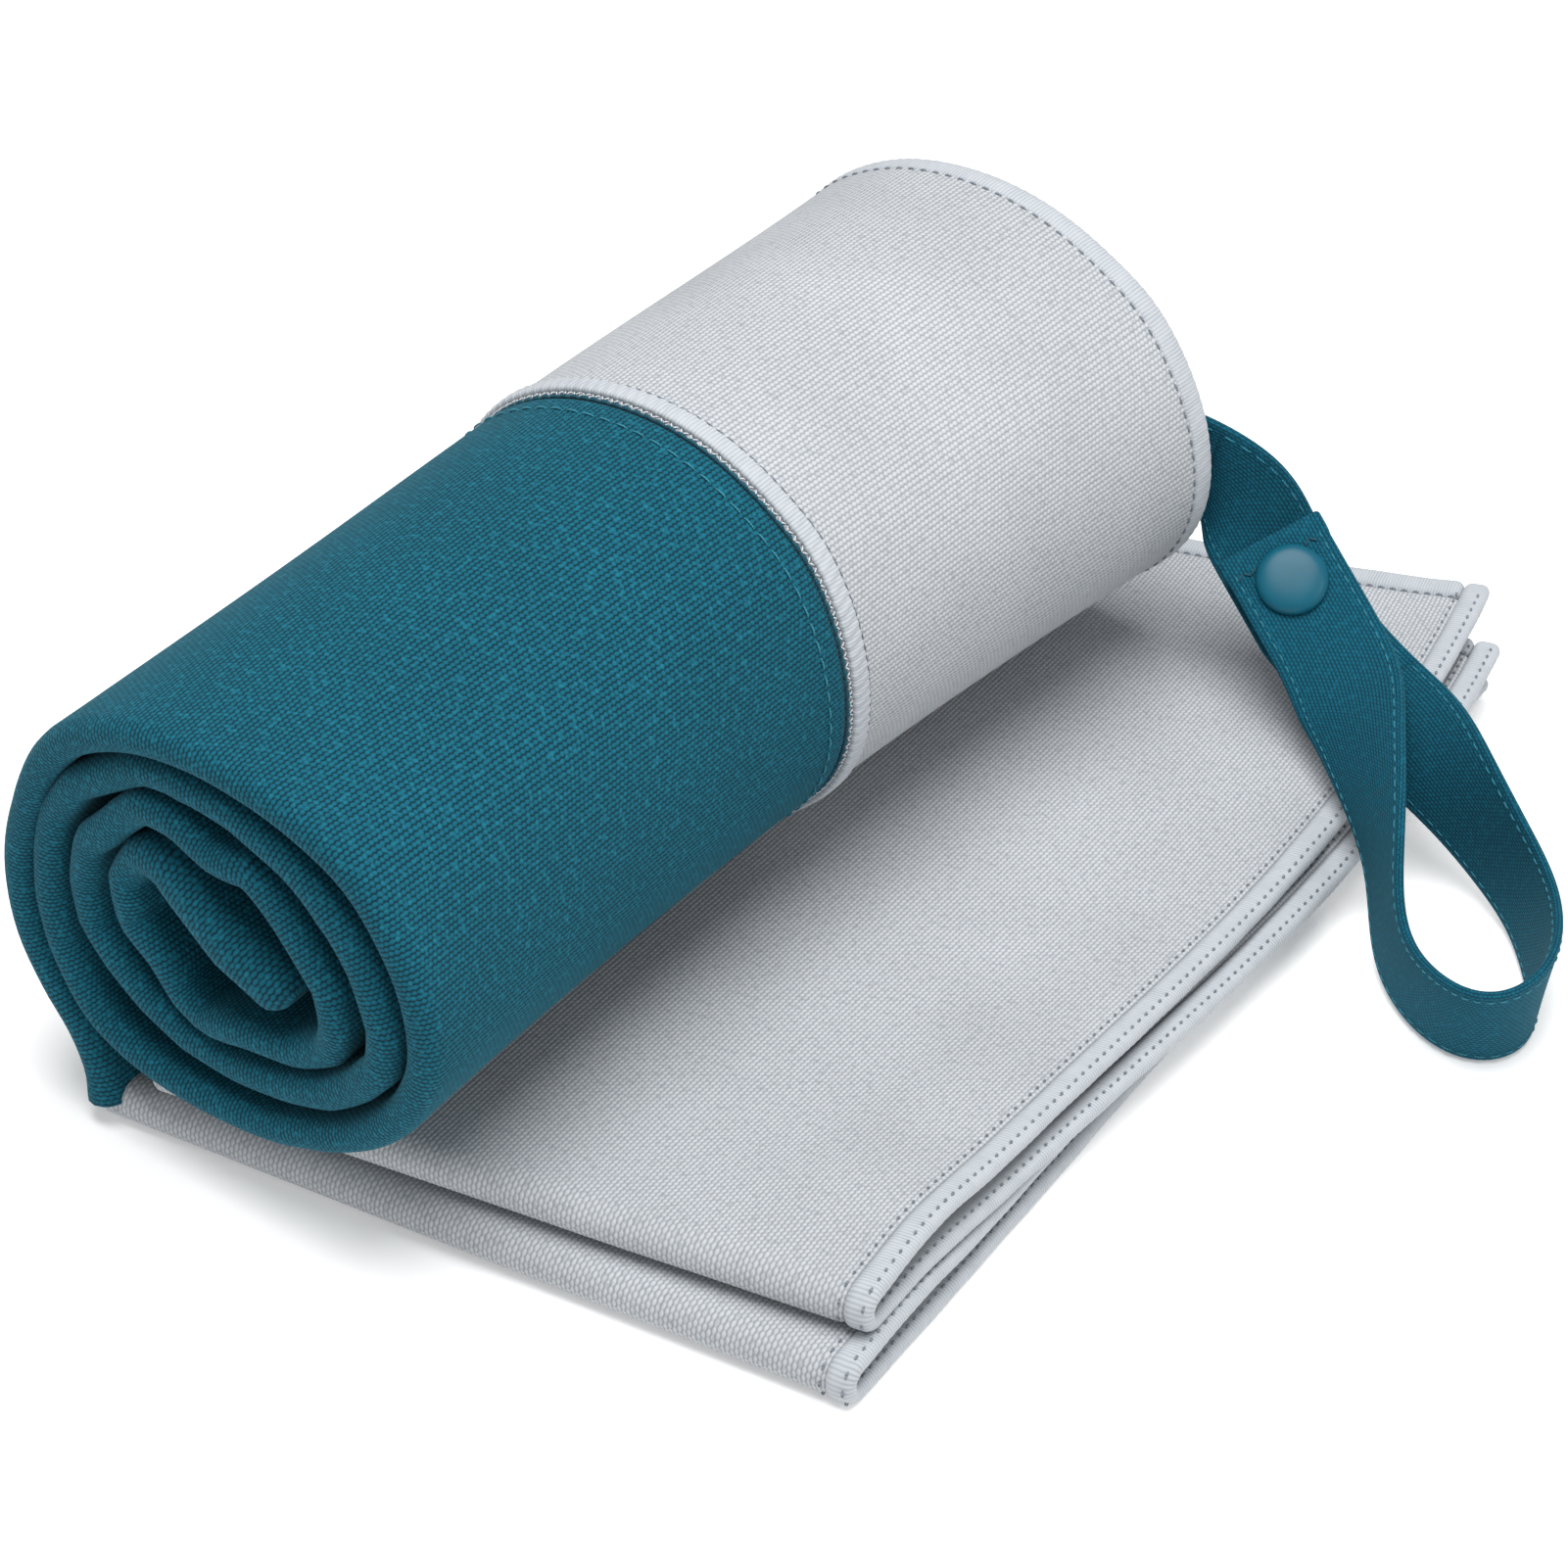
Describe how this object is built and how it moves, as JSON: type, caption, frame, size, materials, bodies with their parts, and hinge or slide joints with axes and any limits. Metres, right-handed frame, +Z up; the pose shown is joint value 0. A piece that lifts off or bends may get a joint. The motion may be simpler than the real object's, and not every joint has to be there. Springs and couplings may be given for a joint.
{
  "type": "quick dry towel",
  "caption": "Rolled two-tone quick-dry towel lying on its own folded end, with overlocked hems and a sewn hanging strap whose tab snaps shut round a hook or rail.",
  "frame": {"origin": "bottom face of the folded end, on the surface it lies on, under the side of the roll", "axes": "+Z up; +Y along the roll from its teal end to the end with the strap; +X from under the roll towards the flat folded part"},
  "size_m": [0.1816, 0.236, 0.0921],
  "materials": {
    "teal_cloth": "matt woven microfibre, teal",
    "grey_cloth": "matt woven microfibre, light heathered grey",
    "overlock_thread": "close zigzag overlock stitching in grey polyester thread",
    "strap_webbing": "doubled self-fabric tape, teal, topstitched along both edges",
    "snap_plastic": "moulded acetal press snap, dark teal, satin gloss"
  },
  "bodies": {
    "towel": {"teal_roll": "teal_cloth", "grey_roll": "grey_cloth", "roll_end_hem": "overlock_thread", "seam_overlock": "overlock_thread", "lower_fold": "grey_cloth", "lower_fold_side_hem": "overlock_thread", "lower_fold_under_end_hem": "overlock_thread", "lower_fold_top_end_hem": "overlock_thread", "upper_fold": "grey_cloth", "upper_fold_side_hem": "overlock_thread", "upper_fold_under_end_hem": "overlock_thread", "upper_fold_top_end_hem": "overlock_thread", "strap_anchor": "strap_webbing", "anchor_bartack": "teal_cloth"},
    "strap_neck": {"strap_neck": "strap_webbing"},
    "strap": {"strap_loop": "strap_webbing", "snap_stud": "snap_plastic", "snap_stud_back": "snap_plastic"},
    "snap_tab": {"strap_tab": "strap_webbing", "strap_tab_hem": "strap_webbing", "snap_socket": "snap_plastic", "snap_cap": "snap_plastic"}
  },
  "joints": [
    {"name": "strap_swing", "type": "hinge", "parent": "towel", "child": "strap_neck", "pos_m": [-0.00555, 0.0737, 0.053], "axis": [0, 0, 1], "range_deg": [0, 25]},
    {"name": "strap_lift", "type": "hinge", "parent": "strap_neck", "child": "strap", "pos_m": [0.0135, 0.07801, 0.03972], "axis": [-0.4874, -0.7985, -0.3534], "range_deg": [0, 60]},
    {"name": "snap_tab_open", "type": "hinge", "parent": "strap", "child": "snap_tab", "pos_m": [0.03419, 0.06921, 0.03107], "axis": [0.4874, 0.7985, 0.3534], "range_deg": [0, 110]}
  ]
}
